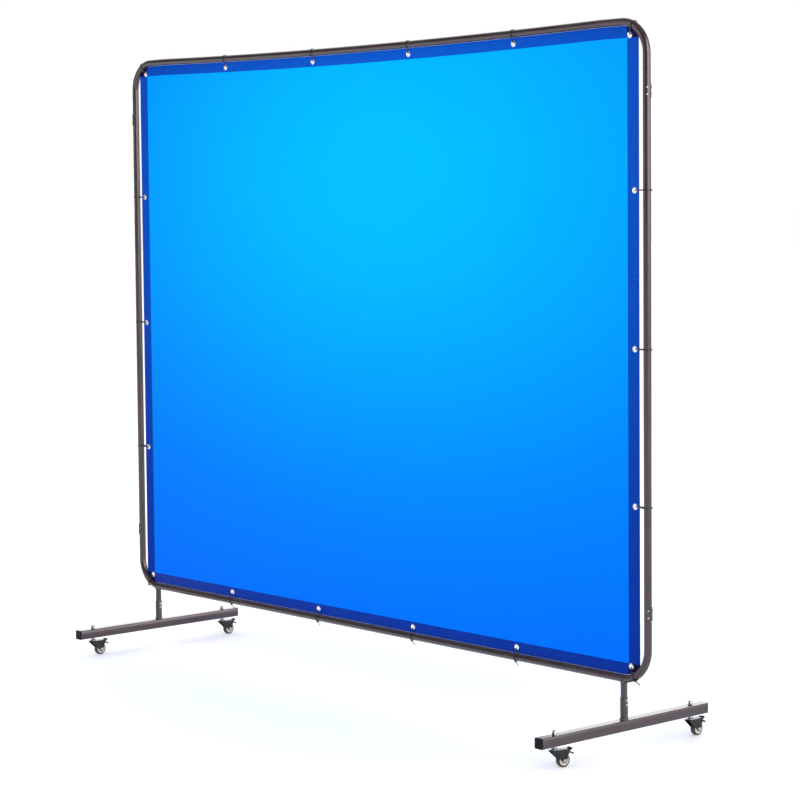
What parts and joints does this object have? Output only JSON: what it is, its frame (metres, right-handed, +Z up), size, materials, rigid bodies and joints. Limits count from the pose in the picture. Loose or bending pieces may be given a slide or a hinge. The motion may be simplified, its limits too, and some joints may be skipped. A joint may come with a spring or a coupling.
{
  "type": "welding curtain screen",
  "caption": "Mobile welding screen: a rounded tube frame on castered feet holds a tinted vinyl curtain tied through grommets, to shield people from arc glare.",
  "frame": {"origin": "on the floor, under the middle of the screen, halfway between the feet", "axes": "+X along the screen to the right foot, +Y to the back, the way the casters trail, +Z up"},
  "size_m": [2.4036, 0.6666, 2.014],
  "materials": {
    "powder_coat": "glossy dark brown-black powder coat",
    "black_plastic": "satin moulded plastic",
    "zinc_plate": "bright zinc plate",
    "black_steel": "black coated pressed steel",
    "tyre_rubber": "matt dark rubber",
    "rim_plastic": "cream moulded plastic",
    "curtain_vinyl": "glossy translucent tinted vinyl sheet",
    "tie_nylon": "satin nylon"
  },
  "bodies": {
    "root": {"top_tube": "powder_coat", "bottom_tube": "powder_coat", "upright_left": "powder_coat", "upright_right": "powder_coat", "corner_top_left": "powder_coat", "corner_top_right": "powder_coat", "corner_bottom_left": "powder_coat", "corner_bottom_right": "powder_coat", "joint_saddle_top_left": "powder_coat", "joint_saddle_top_right": "powder_coat", "joint_saddle_bottom_left": "powder_coat", "joint_saddle_bottom_right": "powder_coat", "foot_beam_left": "powder_coat", "foot_beam_right": "powder_coat", "post_socket_left": "powder_coat", "post_socket_right": "powder_coat", "post_stub_left": "powder_coat", "post_stub_right": "powder_coat", "end_plug_left_front": "black_plastic", "end_plug_left_back": "black_plastic", "end_plug_right_front": "black_plastic", "end_plug_right_back": "black_plastic", "caster_stem_left_front": "zinc_plate", "caster_stem_left_back": "zinc_plate", "caster_stem_right_front": "zinc_plate", "caster_stem_right_back": "zinc_plate", "stem_nut_left_front": "zinc_plate", "stem_nut_left_back": "zinc_plate", "stem_nut_right_front": "zinc_plate", "stem_nut_right_back": "zinc_plate", "curtain": "curtain_vinyl", "cable_tie_top_left": "tie_nylon", "cable_tie_top_right": "tie_nylon", "cable_tie_bottom_left": "tie_nylon", "cable_tie_bottom_right": "tie_nylon", "cable_tie_top_1": "tie_nylon", "cable_tie_top_2": "tie_nylon", "cable_tie_top_3": "tie_nylon", "cable_tie_top_4": "tie_nylon"},
    "swivel_left_front": {"caster_fork_left_front": "black_steel", "caster_axle_left_front": "zinc_plate"},
    "swivel_left_back": {"caster_fork_left_back": "black_steel", "caster_axle_left_back": "zinc_plate"},
    "swivel_right_front": {"caster_fork_right_front": "black_steel", "caster_axle_right_front": "zinc_plate"},
    "swivel_right_back": {"caster_fork_right_back": "black_steel", "caster_axle_right_back": "zinc_plate"},
    "wheel_left_front": {"wheel_hub_left_front": "rim_plastic", "wheel_tyre_left_front": "tyre_rubber"},
    "wheel_left_back": {"wheel_hub_left_back": "rim_plastic", "wheel_tyre_left_back": "tyre_rubber"},
    "wheel_right_front": {"wheel_hub_right_front": "rim_plastic", "wheel_tyre_right_front": "tyre_rubber"},
    "wheel_right_back": {"wheel_hub_right_back": "rim_plastic", "wheel_tyre_right_back": "tyre_rubber"},
    "brake_left_front": {"brake_pedal_left_front": "black_plastic"},
    "brake_left_back": {"brake_pedal_left_back": "black_plastic"},
    "brake_right_front": {"brake_pedal_right_front": "black_plastic"},
    "brake_right_back": {"brake_pedal_right_back": "black_plastic"}
  },
  "joints": [
    {"name": "swivel_turn_left_front", "type": "hinge", "parent": "root", "child": "swivel_left_front", "pos_m": [-1.099, -0.273, 0.049], "axis": [0, 0, 1], "continuous": true},
    {"name": "swivel_turn_left_back", "type": "hinge", "parent": "root", "child": "swivel_left_back", "pos_m": [-1.099, 0.273, 0.049], "axis": [0, 0, 1], "continuous": true},
    {"name": "swivel_turn_right_front", "type": "hinge", "parent": "root", "child": "swivel_right_front", "pos_m": [1.099, -0.273, 0.049], "axis": [0, 0, 1], "continuous": true},
    {"name": "swivel_turn_right_back", "type": "hinge", "parent": "root", "child": "swivel_right_back", "pos_m": [1.099, 0.273, 0.049], "axis": [0, 0, 1], "continuous": true},
    {"name": "wheel_spin_left_front", "type": "hinge", "parent": "swivel_left_front", "child": "wheel_left_front", "pos_m": [-1.099, -0.246, 0.01877], "axis": [1, 0, 0], "continuous": true},
    {"name": "wheel_spin_left_back", "type": "hinge", "parent": "swivel_left_back", "child": "wheel_left_back", "pos_m": [-1.099, 0.3, 0.01877], "axis": [1, 0, 0], "continuous": true},
    {"name": "wheel_spin_right_front", "type": "hinge", "parent": "swivel_right_front", "child": "wheel_right_front", "pos_m": [1.10461, -0.24659, 0.01877], "axis": [0.9781, -0.2079, 0], "continuous": true},
    {"name": "wheel_spin_right_back", "type": "hinge", "parent": "swivel_right_back", "child": "wheel_right_back", "pos_m": [1.099, 0.3, 0.01877], "axis": [1, 0, 0], "continuous": true},
    {"name": "brake_press_left_front", "type": "hinge", "parent": "swivel_left_front", "child": "brake_left_front", "pos_m": [-1.099, -0.23696, 0.041], "axis": [1, 0, 0], "range_deg": [-30, 0]},
    {"name": "brake_press_left_back", "type": "hinge", "parent": "swivel_left_back", "child": "brake_left_back", "pos_m": [-1.099, 0.30904, 0.041], "axis": [1, 0, 0], "range_deg": [-30, 0]},
    {"name": "brake_press_right_front", "type": "hinge", "parent": "swivel_right_front", "child": "brake_right_front", "pos_m": [1.10649, -0.23775, 0.041], "axis": [0.9781, -0.2079, 0], "range_deg": [-30, 0]},
    {"name": "brake_press_right_back", "type": "hinge", "parent": "swivel_right_back", "child": "brake_right_back", "pos_m": [1.099, 0.30904, 0.041], "axis": [1, 0, 0], "range_deg": [-30, 0]}
  ]
}
